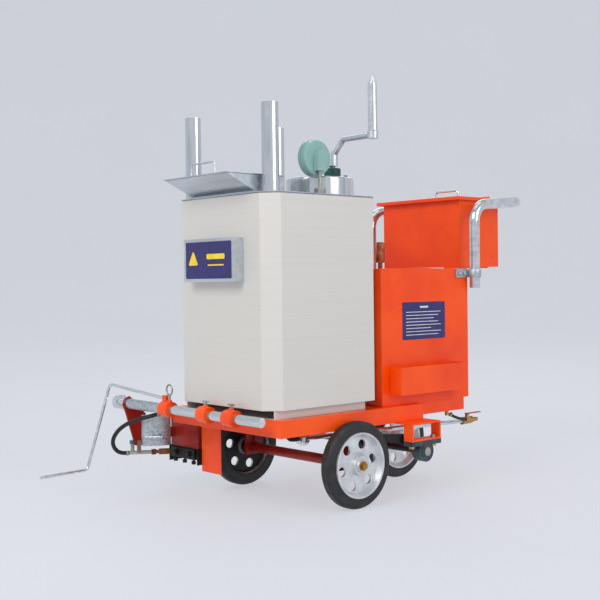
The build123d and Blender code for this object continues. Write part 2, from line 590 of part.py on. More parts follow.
# Spare hand torch, parked with its head out of the box's front corner.
TORCH_PARK = ((189, 178, 470), (194, 172, 704), (200, 169, 764))
with BuildPart() as parked_torch:
    rod(TORCH_PARK[0], TORCH_PARK[1], 7.0)
    rod(TORCH_PARK[1], TORCH_PARK[2], 13.0)
    rod(TORCH_PARK[1], TORCH_PARK[2], 10.5, mode=Mode.SUBTRACT)
    neck = Vector(*TORCH_PARK[1]) + (Vector(*TORCH_PARK[2]) - Vector(*TORCH_PARK[1])).normalized() * 8
    rod(TORCH_PARK[1], tuple(neck), 12.0)
save(parked_torch, "parked_torch")

# Glass bead box with the fixed rear strip of its flange, its hinge knuckles and its two brackets.
with BuildPart() as bead_box:
    block((-BEAD_X, BEAD_X), BEAD_Y, BEAD_Z)
    offset(amount=-2, openings=bead_box.faces().sort_by(Axis.Z)[-1])
    block((-BEAD_FLANGE_X, BEAD_FLANGE_X), (761, 784), (BEAD_Z[1], BEAD_Z[1] + 3))
    for low, high in ((-140, -100), (100, 140)):
        block((low, high), (BEAD_HINGE[0], 770), (BEAD_Z[1] + 3, BEAD_HINGE[1] - 2))
    hinge_leaf(BEAD_HINGE, ((-140, -100), (100, 140)), ((-100, -64), (64, 100)), ())
    for x in ((-150, -110), (110, 150)):
        block(x, (BOX_Y[1], BOX_Y[1] + 4), (600, BEAD_Z[0]))
        block(x, (BOX_Y[1], 740), (BEAD_Z[0] - 4, BEAD_Z[0]))
save(bead_box, "bead_box")

with BuildPart() as bead_lid:
    lid_z = (BEAD_Z[1] + 0.4, BEAD_Z[1] + 3)
    block((-BEAD_FLANGE_X, BEAD_FLANGE_X), (545, 758), lid_z)
    block((-BEAD_FLANGE_X, BEAD_FLANGE_X), (545, 756), (BEAD_Z[1] - 8, lid_z[1]))
    block((-BEAD_FLANGE_X + 2, BEAD_FLANGE_X - 2), (547, 760), (BEAD_Z[1] - 9, lid_z[0]), mode=Mode.SUBTRACT)
    for low, high in ((-99.5, -60), (60, 99.5)):
        block((low, high), (750, BEAD_HINGE[0]), (lid_z[1] - 1, BEAD_HINGE[1] - 2))
    hinge_leaf(BEAD_HINGE, ((-99.5, -60), (60, 99.5)), (), ((-99.5, -60), (60, 99.5)))
save(bead_lid, "bead_lid")

with BuildPart() as bead_lid_handle:
    with BuildLine() as lid_bail:
        FilletPolyline((82, 557, 921), (82, 557, 940), (174, 557, 940), (174, 557, 921), radius=8)
    with BuildSketch(Plane(origin=(82, 557, 921), z_dir=(0, 0, 1))):
        Circle(4)
    sweep()
save(bead_lid_handle, "bead_lid_handle")

with BuildPart() as push_handle:
    with BuildLine() as handle_path:
        FilletPolyline(
            (HANDLE_X, HANDLE_Y[0], HANDLE_LOW_Z), (HANDLE_X, HANDLE_Y[0], 890), (HANDLE_X, HANDLE_Y[1], 910),
            (-HANDLE_X, HANDLE_Y[1], 910), (-HANDLE_X, HANDLE_Y[0], 890), (-HANDLE_X, HANDLE_Y[0], HANDLE_LOW_Z),
            radius=[60, 45, 45, 60])
    with BuildSketch(Plane(origin=(HANDLE_X, HANDLE_Y[0], HANDLE_LOW_Z), z_dir=(0, 0, 1))):
        Circle(HANDLE_TUBE_R)
        Circle(HANDLE_TUBE_R - 2, mode=Mode.SUBTRACT)
    sweep()
save(push_handle, "push_handle")

with BuildPart() as handle_clamps:
    clamp_z = (657.0, 683.0)
    for side in (-1, 1):
        x = side * HANDLE_X
        rod((x, HANDLE_Y[0], clamp_z[0]), (x, HANDLE_Y[0], clamp_z[1]), HANDLE_TUBE_R + 4)
        block(sorted((side * BOX_X, side * (BOX_X + 6))), (496, 560), clamp_z)
        rod((x, HANDLE_Y[0], clamp_z[0]), (x, HANDLE_Y[0], clamp_z[1]), HANDLE_TUBE_R, mode=Mode.SUBTRACT)
        for y in (512, 534):
            hexagon((side * (BOX_X + 6), y, 670), (side * (BOX_X + 12), y, 670), 13.0)
save(handle_clamps, "handle_clamps")

# ---- cross bar and its clamps --------------------------------------------------------
bar_axis = (BAR_Y, BAR_Z)
with BuildPart() as cross_bar:
    rod((BAR_X[0], *bar_axis), (BAR_X[1], *bar_axis), BAR_R)
    chamfer(cross_bar.edges().filter_by(GeomType.CIRCLE), 1)
    rod((BAR_X[0] + 2, *bar_axis), (ARM_PLATE_X[0] - BODY_GAP, *bar_axis), COLLAR_R)
    for x in (-496, -478):
        rod((x, BAR_Y, BAR_Z + 18), (x, BAR_Y, BAR_Z + COLLAR_R + 3), 4.0)
save(cross_bar, "cross_bar")

ROD_LUG_X = (-256.0, -236.0)
GUIDE_ROD_R = 5.0
ROD_BEND = Vector(-520, -335, 330)
ROD_HOLD = Vector(-255, -306, 302)
rod_axis = (ROD_BEND - ROD_HOLD).normalized()
rod_start = ROD_HOLD - rod_axis * 18
with BuildPart() as ring_clamps:
    for (low, high), screw_x in zip(CLAMPS_X, SCREWS_X):
        rod((low, *bar_axis), (high, *bar_axis), CLAMP_R)
        block((low, high), (BAR_Y, BEAM_Y[0]), (BAR_Z - 17, BAR_Z + 1))
        rod((screw_x, BAR_Y, BAR_Z + 15), (screw_x, BAR_Y, BAR_Z + 28), 8.0)
    block(ROD_LUG_X, (-314, -296), (BAR_Z + 15, 312))
    rod((CLAMPS_X[0][0] - 1, *bar_axis), (CLAMPS_X[2][1] + 1, *bar_axis), BAR_R + RUNNING_GAP, mode=Mode.SUBTRACT)
    for screw_x in SCREWS_X:
        rod((screw_x, BAR_Y, BAR_Z), (screw_x, BAR_Y, BAR_Z + 30), SCREW_R + RUNNING_GAP, mode=Mode.SUBTRACT)
    lug_end = ROD_HOLD + rod_axis * 20
    rod(tuple(ROD_HOLD - rod_axis * 30), tuple(lug_end), GUIDE_ROD_R + RUNNING_GAP, mode=Mode.SUBTRACT)
save(ring_clamps, "ring_clamps")

with BuildPart() as guide_rod:
    with BuildLine() as rod_path:
        FilletPolyline(
            tuple(rod_start), tuple(ROD_BEND), (-520, -422, 66), (-520, -583, 62), radius=[14, 14])
    with BuildSketch(Plane(origin=tuple(rod_start), z_dir=rod_axis)):
        Circle(GUIDE_ROD_R)
    sweep()
save(guide_rod, "guide_rod")

SCREW_TIP_Z = BAR_Z + BAR_R + BODY_GAP + 0.2
with BuildPart() as ring_screw:
    rod((SCREWS_X[0], BAR_Y, SCREW_TIP_Z), (SCREWS_X[0], BAR_Y, 316), SCREW_R)
    with Locations(Plane(origin=(SCREWS_X[0], BAR_Y, 330), x_dir=(1, 0, 0), z_dir=(0, -1, 0)).location):
        Torus(15.0, 2.5)
save(ring_screw, "ring_screw")


def make_wing_screw(label, x):
    """Clamp screw with a cross handle."""
    with BuildPart() as wing_screw:
        rod((x, BAR_Y, SCREW_TIP_Z), (x, BAR_Y, 312), SCREW_R)
        rod((x - 13, BAR_Y, 309), (x + 13, BAR_Y, 309), 2.5)
    save(wing_screw, label)


make_wing_screw("middle_screw", SCREWS_X[1])
make_wing_screw("right_screw", SCREWS_X[2])

# ---- shoe arm: tube on the bar, plate, rear foot and pivot pin -----------------------
with BuildPart() as hanger_arm:
    rod((ARM_PLATE_X[0], *bar_axis), (CLAMPS_X[0][0] - 2, *bar_axis), ARM_TUBE_R)
    with BuildSketch(Plane.YZ.offset(ARM_PLATE_X[0])) as arm_plate:
        with BuildLine():
            Polyline(
                (-334, 271), (-322, 240), (-290, 136), (-238, 136), (-232, 150), (-111, 150), (-96, 165),
                (-111, 180), (-242, 184), (-252, 236), (-286, 271), (-310, 295), close=True,
            )
        make_face()
    extrude(amount=ARM_PLATE_X[1] - ARM_PLATE_X[0])
    rod((ARM_PLATE_X[1], *SHOE_PIVOT), (-434, *SHOE_PIVOT), 6.0)
    block((-308, -294), (-297, -258), (262, 270))
    block((-310, -294), (-272, -258), (243, 262))
    rod((ARM_PLATE_X[0], *bar_axis), (-255, *bar_axis), BAR_R + RUNNING_GAP, mode=Mode.SUBTRACT)
save(hanger_arm, "hanger_arm")

# Curved galvanised wind shield, with the cross tube and bolt at its lower edge.
with BuildPart() as heat_shield:
    with BuildSketch(Plane.XY.offset(132)):
        with BuildLine():
            ThreePointArc((-444, -268), (-412, -238), (-400, -186))
            Line((-400, -186), (-402, -186))
            ThreePointArc((-402, -186), (-414, -236.6), (-444, -265.6))
            Line((-444, -265.6), (-444, -268))
        make_face()
    extrude(amount=100)
    rod((-437, -257, 158), (-396, -226, 160), 8.0)
    hexagon((-396, -226, 160), (-391, -222, 160), 12.0)
save(heat_shield, "heat_shield")

TORCH = ((-465, -301, 112), (-418, -220, 112), (-400, -189, 112))
torch_axis = (Vector(*TORCH[2]) - Vector(*TORCH[0])).normalized()
with BuildPart() as torch:
    rod(TORCH[0], TORCH[1], 6.0)
    rod(TORCH[1], TORCH[2], 9.5)
    rod(tuple(Vector(*TORCH[1]) + torch_axis * 6), TORCH[2], 7.5, mode=Mode.SUBTRACT)
    hexagon((-430, -240.5, 112), (-423, -228.5, 112), 17.0)
    rod((-460, -292.5, 112), (-460, -292.5, 140), 6.0)
    block((-444, -441), (-286, -272), (112, 152))
save(torch, "torch")

with BuildPart() as torch_knob:
    rod((-460.5, -293, 140.3), (-460.5, -293, 152), 8.0)
save(torch_knob, "torch_knob")


def make_hose(label, route, radius):
    """Flexible hose: a tube of straight runs and the largest tangent arcs."""
    radii = corner_radii(route)
    with BuildPart() as hose:
        with BuildLine() as line:
            FilletPolyline(*route, radius=radii)
        with BuildSketch(Plane(origin=route[0], z_dir=line.line % 0)):
            Circle(radius)
        sweep()
    length = line.wires()[0].length
    print(label, "length", round(length, 1), "tightest", round(min(radii), 1), "mm",
          "fill", round(hose.part.volume / (pi * radius**2 * length), 4))
    save(hose, label)


make_hose("torch_hose", TORCH_HOSE_ROUTE, TORCH_HOSE_R)
make_hose("gas_hose", GAS_HOSE_ROUTE, GAS_HOSE_R)

# ---- marking shoe --------------------------------------------------------------------
with BuildPart() as shoe_hopper:
    block(SHOE_X, SHOE_Y, SHOE_Z)
    block((SHOE_X[0] + 4, SHOE_X[1] - 4), (SHOE_Y[0] + 4, SHOE_Y[1] - 4), (SHOE_Z[0] + 4, SHOE_Z[1]),
          mode=Mode.SUBTRACT)
    block((-422, -302), (-126, -96), (SHOE_Z[0], SHOE_Z[0] + 4), mode=Mode.SUBTRACT)
    rod((ARM_PLATE_X[1] + BODY_GAP, *SHOE_PIVOT), (SHOE_X[0], *SHOE_PIVOT), 14.0)
    rod((-450, *SHOE_PIVOT), (SHOE_X[0] + 4, *SHOE_PIVOT), 6.0 + RUNNING_GAP, mode=Mode.SUBTRACT)
save(shoe_hopper, "shoe_hopper")

with BuildPart() as shoe_base:
    block(SHOE_X, SHOE_Y, (96, SHOE_Z[0]))
    block((-422, -302), (-126, -96), (96, SHOE_Z[0]), mode=Mode.SUBTRACT)
    for x in ((SHOE_X[0] - 4, SHOE_X[0]), (SHOE_X[1], SHOE_X[1] + 4)):
        block(x, (-166, -58), (RUNNER_BOTTOM_Z, SHOE_Z[0]))
save(shoe_base, "shoe_base")

with BuildPart() as shoe_gate:
    gate_y = (-170.0, SHOE_Y[0] - BODY_GAP)
    block((-424, -296), gate_y, (92, 124))
    for x in (-392, -324):
        rod((x, gate_y[0], 108), (x, gate_y[0] - 2, 108), 12.0)
        hexagon((x, gate_y[0] - 2, 108), (x, gate_y[0] - 8, 108), 14.0)
    for x in (-404, -354, -306):
        rod((x, -165, 92), (x, -165, 88), 3.0)
        rod((x, -165, 88), (x, -165, 78), 7.0)
save(shoe_gate, "shoe_gate")

# ---- gas line ------------------------------------------------------------------------
with BuildPart() as burner:
    rod((0, -64.5, 276), (0, -64.5, 292), 70.0)
    rod((0, -64.5, 284), (0, -64.5, 293), 60.0, mode=Mode.SUBTRACT)
    rod((0, -64.5, 250), (0, -64.5, 278), 12.0)
    with BuildLine(mode=Mode.PRIVATE) as feed:
        FilletPolyline((0, -64.5, 252), (0, -64.5, 204), (PIPE_X, -166, 204), (PIPE_X, -140, 204), radius=[18, 10])
    with BuildSketch(Plane(origin=(0, -64.5, 252), z_dir=(0, 0, -1))) as feed_section:
        Circle(6)
    sweep(feed_section.sketch, path=feed.line)
save(burner, "burner")

pipe_front = (PIPE_X, PIPE_Y[0], PIPE_Z[0])
pipe_rear = (PIPE_X, PIPE_Y[1], PIPE_Z[1])
with BuildPart() as gas_pipe:
    rod(pipe_front, pipe_rear, PIPE_R)
    rod((PIPE_X, -128, 204), (PIPE_X, -112, 204), 20.0)
    rod((PIPE_X, -140, 204), (PIPE_X, -128, 204), 13.0)
    for y in (60, 330):
        z = PIPE_Z[0] + (PIPE_Z[1] - PIPE_Z[0]) * (y - PIPE_Y[0]) / (PIPE_Y[1] - PIPE_Y[0])
        hexagon((PIPE_X, y, z), (PIPE_X, y + 20, z - 0.5), 21.0)
save(gas_pipe, "gas_pipe")

VALVE_Z = PIPE_Z[1]
with BuildPart() as gas_valve:
    hexagon((PIPE_X, 575, VALVE_Z), (PIPE_X, 590, VALVE_Z), 22.0)
    rod((PIPE_X, 590, VALVE_Z), (PIPE_X, 616, VALVE_Z), 11.5)
    hexagon((PIPE_X, 616, VALVE_Z), (PIPE_X, 628, VALVE_Z), 20.0)
    rod((PIPE_X, 628, VALVE_Z), (PIPE_X, 652, VALVE_Z), 7.0)
    rod((PIPE_X, 604, VALVE_Z + 8), (PIPE_X, 604, VALVE_Z + 20), 7.0)
    rod((PIPE_X, 604, VALVE_Z + 12), (PIPE_X, 604, VALVE_Z + 20), 4.0 + RUNNING_GAP, mode=Mode.SUBTRACT)
    hose_start, hose_second = (Vector(*point) for point in GAS_HOSE_ROUTE[:2])
    rod(tuple(hose_start - (hose_second - hose_start).normalized() * 8), tuple(hose_start), 4.0)
    rod((187.2, 476, 216), (187.2, 476, REAR_RAIL_Z[0]), 6.0)
    hose_before, hose_end = (Vector(*point) for point in GAS_HOSE_ROUTE[-2:])
    barb_end = hose_end + (hose_end - hose_before).normalized() * 10
    rod(tuple(hose_end), tuple(barb_end), 4.0)
    rod(tuple(barb_end), (PIPE_X, 602, VALVE_Z), 4.5)
save(gas_valve, "gas_valve")

with BuildPart() as gas_lever:
    rod((PIPE_X, 604, VALVE_Z + 12.3), (PIPE_X, 604, VALVE_Z + 24), 4.0)
    rod((PIPE_X, 604, VALVE_Z + 20.4), (PIPE_X, 604, VALVE_Z + 24), 8.0)
    block((PIPE_X - 6, PIPE_X + 6), (604, 668), (VALVE_Z + 21, VALVE_Z + 24))
save(gas_lever, "gas_lever")
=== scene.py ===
import math

import bmesh
import bpy
from mathutils import Matrix, Vector


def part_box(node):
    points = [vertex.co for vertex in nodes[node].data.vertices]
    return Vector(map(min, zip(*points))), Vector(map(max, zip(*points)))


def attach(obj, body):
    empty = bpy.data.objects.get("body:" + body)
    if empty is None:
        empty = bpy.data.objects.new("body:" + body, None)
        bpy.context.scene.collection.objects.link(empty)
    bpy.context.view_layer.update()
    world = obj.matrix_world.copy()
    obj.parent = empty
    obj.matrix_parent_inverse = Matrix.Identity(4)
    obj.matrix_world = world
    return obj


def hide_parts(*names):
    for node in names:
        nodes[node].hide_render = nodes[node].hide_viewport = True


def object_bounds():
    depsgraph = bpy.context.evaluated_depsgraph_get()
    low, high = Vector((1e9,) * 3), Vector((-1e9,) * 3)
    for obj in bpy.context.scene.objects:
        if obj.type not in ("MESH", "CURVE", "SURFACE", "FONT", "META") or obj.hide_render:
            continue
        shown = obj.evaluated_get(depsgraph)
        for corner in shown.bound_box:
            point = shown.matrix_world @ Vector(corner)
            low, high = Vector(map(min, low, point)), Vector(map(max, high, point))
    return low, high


# Hand-pushed road line striping machine: materials, labels, dial, hoses and small details
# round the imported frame. Everything is in metres. Positions come from the frame's boxes, or from
# the machine's own coordinates in millimetres, moved by ORIGIN_SHIFT.
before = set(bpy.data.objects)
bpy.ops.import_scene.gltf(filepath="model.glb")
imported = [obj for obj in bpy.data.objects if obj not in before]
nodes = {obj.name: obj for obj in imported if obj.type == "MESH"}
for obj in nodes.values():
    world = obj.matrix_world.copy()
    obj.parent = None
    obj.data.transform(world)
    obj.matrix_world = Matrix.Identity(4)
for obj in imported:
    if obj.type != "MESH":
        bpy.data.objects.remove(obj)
cad_low, cad_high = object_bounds()

MM = 0.001
# From the machine's own zero, on the road under the front axle, to the frame's origin.
ORIGIN_SHIFT = Vector((113.5, -124.44, 0.0))
low = {name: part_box(name)[0] for name in nodes}
high = {name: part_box(name)[1] for name in nodes}


# ---- materials ---------------------------------------------------------------------------
def srgb(red, green, blue):
    """An sRGB colour of 0 to 255 as linear RGBA."""
    def linear(value):
        value /= 255
        return value / 12.92 if value <= 0.04045 else ((value + 0.055) / 1.055) ** 2.4
    return (linear(red), linear(green), linear(blue), 1.0)


class Surface:
    """A Principled material whose colour, roughness and bump come from object-space noise."""

    def __init__(self, name, metallic=0.0, coat=0.0, coat_roughness=0.1):
        self.material = bpy.data.materials.new(name)
        self.material.use_nodes = True
        self.tree = self.material.node_tree
        self.shader = self.tree.nodes["Principled BSDF"]
        self.shader.inputs["Metallic"].default_value = metallic
        self.shader.inputs["Coat Weight"].default_value = coat
        self.shader.inputs["Coat Roughness"].default_value = coat_roughness
        self.place = self.tree.nodes.new("ShaderNodeTexCoord")
        self.last_bump = None

    def link(self, source, target):
        self.tree.links.new(source, target)

    def mapped(self, stretch):
        mapping = self.tree.nodes.new("ShaderNodeMapping")
        mapping.inputs["Scale"].default_value = stretch
        self.link(self.place.outputs["Object"], mapping.inputs["Vector"])
        return mapping.outputs["Vector"]

    def noise(self, scale, detail=6.0, stretch=(1, 1, 1), roughness=0.6):
        node = self.tree.nodes.new("ShaderNodeTexNoise")
        node.inputs["Scale"].default_value = scale
        node.inputs["Detail"].default_value = detail
        node.inputs["Roughness"].default_value = roughness
        self.link(self.mapped(stretch), node.inputs["Vector"])
        return node.outputs["Fac"]

    def cells(self, scale, stretch=(1, 1, 1)):
        node = self.tree.nodes.new("ShaderNodeTexVoronoi")
        node.inputs["Scale"].default_value = scale
        self.link(self.mapped(stretch), node.inputs["Vector"])
        return node.outputs["Color"]

    def ramp(self, factor, stops):
        node = self.tree.nodes.new("ShaderNodeValToRGB")
        elements = node.color_ramp.elements
        while len(elements) < len(stops):
            elements.new(0.5)
        for element, (position, colour) in zip(elements, stops):
            element.position = position
            element.color = colour
        self.link(factor, node.inputs["Fac"])
        return node.outputs["Color"]

    def colour(self, factor, stops):
        self.link(self.ramp(factor, stops), self.shader.inputs["Base Color"])
        return self

    def rough(self, factor, smoothest, roughest):
        node = self.tree.nodes.new("ShaderNodeMapRange")
        node.inputs["From Min"].default_value = 0.3
        node.inputs["From Max"].default_value = 0.7
        node.inputs["To Min"].default_value = smoothest
        node.inputs["To Max"].default_value = roughest
        self.link(factor, node.inputs["Value"])
        self.link(node.outputs["Result"], self.shader.inputs["Roughness"])
        return self

    def bump(self, factor, distance, strength=0.5):
        node = self.tree.nodes.new("ShaderNodeBump")
        node.inputs["Distance"].default_value = distance
        node.inputs["Strength"].default_value = strength
        self.link(factor, node.inputs["Height"])
        if self.last_bump:
            self.link(self.last_bump, node.inputs["Normal"])
        self.link(node.outputs["Normal"], self.shader.inputs["Normal"])
        self.last_bump = node.outputs["Normal"]
        return self


def gloss_paint(name, dark, mid, light, coat=0.22):
    """Sprayed gloss paint: faint colour drift, orange peel, and dust in the coat."""
    paint = Surface(name, coat=coat, coat_roughness=0.08)
    paint.shader.inputs["Specular IOR Level"].default_value = 0.25
    paint.colour(paint.noise(5.0, 4.0), [(0.30, dark), (0.52, mid), (0.75, light)])
    paint.rough(paint.noise(38.0, 5.0), 0.26, 0.44)
    paint.bump(paint.noise(420.0, 2.0), 0.0002, 0.25)
    paint.bump(paint.noise(6.0, 2.0), 0.002, 0.12)
    return paint.material


def brushed_metal(name, dark, light, stretch, smoothest, roughest, metallic=0.9, bump=0.35):
    """Metal with a directional grain: fine scratches one way, and slow smudges over them."""
    metal = Surface(name, metallic=metallic)
    metal.colour(metal.noise(60.0, 8.0, stretch), [(0.32, dark), (0.68, light)])
    metal.rough(metal.noise(9.0, 6.0), smoothest, roughest)
    metal.bump(metal.noise(300.0, 6.0, stretch), 0.0002, bump)
    return metal.material


def cast_metal(name, dark, light, smoothest, roughest, metallic, grain=420.0, bump=0.5):
    """Cast or forged metal: sandy skin with mottled tone."""
    metal = Surface(name, metallic=metallic)
    metal.colour(metal.noise(26.0, 8.0), [(0.32, dark), (0.70, light)])
    metal.rough(metal.noise(55.0, 6.0), smoothest, roughest)
    metal.bump(metal.noise(grain, 3.0), 0.0004, bump)
    return metal.material


def spangled_zinc(name, dark, mid, light):
    """Galvanised sheet: crystal spangles in tone, with a dull bloom."""
    zinc = Surface(name, metallic=0.85)
    zinc.colour(zinc.cells(190.0), [(0.10, dark), (0.50, mid), (0.92, light)])
    zinc.rough(zinc.noise(24.0, 6.0), 0.30, 0.50)
    zinc.bump(zinc.noise(90.0, 5.0), 0.0003, 0.2)
    return zinc.material


def rubber(name, dark, light, grain=700.0):
    """Solid rubber: soft sheen, dust and a fine moulded grain."""
    skin = Surface(name)
    skin.colour(skin.noise(34.0, 8.0), [(0.34, dark), (0.80, light)])
    skin.rough(skin.noise(60.0, 6.0), 0.42, 0.68)
    skin.bump(skin.noise(grain, 4.0), 0.0003, 0.45)
    return skin.material


def moulded_plastic(name, dark, light):
    plastic = Surface(name, coat=0.2)
    plastic.colour(plastic.noise(30.0, 4.0), [(0.35, dark), (0.70, light)])
    plastic.rough(plastic.noise(80.0, 4.0), 0.24, 0.40)
    plastic.bump(plastic.noise(900.0, 2.0), 0.0001, 0.3)
    return plastic.material


def heat_stained(name, cold, warm, hot):
    """Torch metal: browned and blued in bands by its own flame."""
    metal = Surface(name, metallic=0.7)
    metal.colour(metal.noise(42.0, 7.0), [(0.30, cold), (0.52, warm), (0.74, hot)])
    metal.rough(metal.noise(70.0, 6.0), 0.38, 0.68)
    metal.bump(metal.noise(260.0, 5.0), 0.0004, 0.5)
    return metal.material


def fibrous(name):
    wool = Surface(name)
    wool.colour(wool.noise(60.0, 9.0, (1, 6, 1)), [(0.3, srgb(150, 135, 95)), (0.7, srgb(214, 200, 160))])
    wool.rough(wool.noise(20.0, 4.0), 0.8, 0.95)
    wool.bump(wool.noise(150.0, 8.0, (1, 8, 1)), 0.002, 0.9)
    return wool.material


orange = gloss_paint("orange_gloss", srgb(240, 66, 0), srgb(253, 80, 2), srgb(255, 90, 8))
maroon = gloss_paint("maroon_satin", srgb(112, 18, 12), srgb(140, 26, 16), srgb(166, 38, 22), coat=0.15)
casing_metal = brushed_metal("casing_sheet_steel", srgb(213, 209, 202), srgb(219, 215, 208),
                             (0.04, 0.04, 6), 0.42, 0.54, metallic=0.25, bump=0.05)
plate_metal = brushed_metal("bright_plate_steel", srgb(176, 180, 184), srgb(212, 215, 218),
                            (0.05, 1, 1), 0.20, 0.34)
polished = brushed_metal("polished_tube_steel", srgb(188, 194, 198), srgb(224, 228, 231),
                         (1, 1, 0.05), 0.10, 0.22, bump=0.12)
chrome = brushed_metal("chromed_tube", srgb(196, 202, 206), srgb(232, 236, 238),
                       (0.08, 1, 1), 0.07, 0.18, bump=0.08)
bright_sheet = brushed_metal("bright_chute_sheet", srgb(186, 194, 202), srgb(214, 220, 226),
                             (0.05, 1, 1), 0.24, 0.38, metallic=0.8, bump=0.15)
galvanised = spangled_zinc("galvanised_sheet", srgb(158, 168, 174), srgb(182, 191, 196), srgb(206, 213, 217))
fastener = cast_metal("zinc_fastener", srgb(150, 148, 140), srgb(198, 196, 188), 0.26, 0.46, 0.95, 800.0, 0.2)
rim_cast = cast_metal("cast_aluminium_rim", srgb(196, 200, 204), srgb(232, 234, 236), 0.32, 0.52, 0.75, 500.0, 0.35)
gear_metal = cast_metal("machined_gear_steel", srgb(104, 106, 110), srgb(148, 150, 154), 0.25, 0.45, 0.95, 600.0, 0.2)
brass = cast_metal("yellow_brass", srgb(168, 124, 58), srgb(208, 166, 96), 0.22, 0.42, 0.95, 700.0, 0.2)
bearing_green = cast_metal("painted_bearing_green", srgb(12, 56, 50), srgb(26, 84, 74), 0.35, 0.6, 0.1)
bearing_grey = cast_metal("painted_bearing_grey", srgb(40, 54, 58), srgb(70, 86, 90), 0.35, 0.6, 0.2)
black_metal = cast_metal("blackened_steel", srgb(14, 14, 16), srgb(36, 36, 38), 0.38, 0.62, 0.35)
torch_metal = heat_stained("flame_stained_torch", srgb(60, 40, 34), srgb(124, 70, 46), srgb(160, 116, 88))
parked_metal = heat_stained("copper_torch_head", srgb(92, 36, 22), srgb(168, 82, 50), srgb(206, 132, 92))
tyre_rubber = rubber("solid_tyre_rubber", srgb(20, 20, 22), srgb(46, 46, 48))
hose_rubber = rubber("hose_rubber", srgb(12, 12, 13), srgb(34, 34, 36), 1200.0)
teal_case = gloss_paint("pale_teal_case", srgb(128, 166, 160), srgb(144, 182, 175), srgb(162, 196, 190), coat=0.2)
teal_plastic = moulded_plastic("teal_knob_plastic", srgb(16, 104, 116), srgb(34, 140, 150))
red_plastic = moulded_plastic("red_lever_plastic", srgb(150, 8, 24), srgb(196, 26, 42))
wool = fibrous("rock_wool")

MATERIALS = {
    orange: "frame_tubes wheel_guard rear_carrier lower_box side_tray bead_box bead_lid ring_clamps",
    maroon: "axle_hangers front_axle hanger_arm shoe_hopper",
    casing_metal: "casing plinth",
    plate_metal: "top_plate",
    polished: "chimneys drum outlet_pipe",
    chrome: "push_handle cross_bar crank_grip guide_rod gas_pipe bead_lid_handle",
    galvanised: "heat_shield inner_tank handle_clamps",
    bright_sheet: "feed_chute feed_lid info_box crank_arm",
    fastener: "frame_bolts ring_screw middle_screw right_screw thermometer_stem outlet_lever",
    rim_cast: "front_rim_right front_rim_left rear_rim",
    gear_metal: "crank_shaft stirrer",
    brass: "gas_valve",
    bearing_green: "crank_bearing",
    bearing_grey: "pillow_blocks",
    black_metal: "rear_fork shoe_base shoe_gate burner",
    torch_metal: "torch",
    parked_metal: "parked_torch",
    tyre_rubber: "front_tyre_right front_tyre_left rear_tyre",
    hose_rubber: "torch_hose gas_hose",
    teal_case: "thermometer_case",
    teal_plastic: "torch_knob",
    red_plastic: "gas_lever",
    wool: "insulation",
}
for material, names in MATERIALS.items():
    for name in names.split():
        for index in range(max(1, len(nodes[name].material_slots))):
            if nodes[name].material_slots:
                nodes[name].material_slots[index].material = material
            else:
                nodes[name].data.materials.append(material)


# ---- stretches of a node with their own finish, and painted shade on the rims' inner faces ---
def refinish(name, material, wanted):
    """Gives the faces of a CAD node that wanted(centre, normal) picks another material."""
    mesh = nodes[name].data
    mesh.materials.append(material)
    slot_index = len(mesh.materials) - 1
    for face in mesh.polygons:
        if wanted(face.center, face.normal):
            face.material_index = slot_index


bar_line = Vector((0, -310, 271)) * MM + Vector((0, ORIGIN_SHIFT.y, 0)) * MM
middle_x = ORIGIN_SHIFT.x * MM
HUB_X = 240 * MM


def on_arm_tube(centre, normal):
    return math.hypot(centre.y - bar_line.y, centre.z - bar_line.z) < 17.5 * MM


def is_torch_head(centre, normal):
    return centre.x > low["torch"].x + 46 * MM


def is_hub_bolt(centre, normal):
    return abs(centre.x - middle_x) > HUB_X and centre.z < 150 * MM


# Picks the rim faces that look in towards the machine's middle. Their blackened steel is painted shade for the
# shadowed inside of the wheels.
def is_rim_back_painted_shade(centre, normal):
    return normal.x * (centre.x - middle_x) < -0.2 * abs(centre.x - middle_x)


def is_fork_shaft(centre, normal):
    return abs(centre.x - middle_x) > 255 * MM


refinish("hanger_arm", galvanised, on_arm_tube)
refinish("torch", fastener, lambda centre, normal: not is_torch_head(centre, normal))
refinish("frame_bolts", brass, is_hub_bolt)
# Painted shade: the front rims' inward faces get blackened steel in place of the shadow inside the wheels.
refinish("front_rim_right", black_metal, is_rim_back_painted_shade)
refinish("front_rim_left", black_metal, is_rim_back_painted_shade)
refinish("rear_fork", fastener, is_fork_shaft)


# ---- mesh helpers ------------------------------------------------------------------------
def add_piece(name, mesh_or_curve, material, body, smooth=True):
    """Puts a new piece in the scene, riding on its body."""
    piece = bpy.data.objects.new(name, mesh_or_curve)
    bpy.context.scene.collection.objects.link(piece)
    piece.data.materials.append(material)
    if smooth and piece.type == "MESH":
        for face in piece.data.polygons:
            face.use_smooth = True
    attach(piece, body)
    return piece


def mesh_from(name, build):
    """A mesh filled by build(bm)."""
    bm = bmesh.new()
    build(bm)
    bmesh.ops.recalc_face_normals(bm, faces=bm.faces[:])
    mesh = bpy.data.meshes.new(name)
    bm.to_mesh(mesh)
    bm.free()
    return mesh


def panel_points(width, height, corner, steps=6):
    """A rounded rectangle's outline, counter-clockwise, round (0, 0)."""
    points = []
    for index, (sx, sy) in enumerate(((1, 1), (-1, 1), (-1, -1), (1, -1))):
        centre = Vector((sx * (width / 2 - corner), sy * (height / 2 - corner)))
        for step in range(steps + 1):
            angle = math.radians(90 * index + 90 * step / steps)
            points.append(centre + corner * Vector((math.cos(angle), math.sin(angle))))
    return points


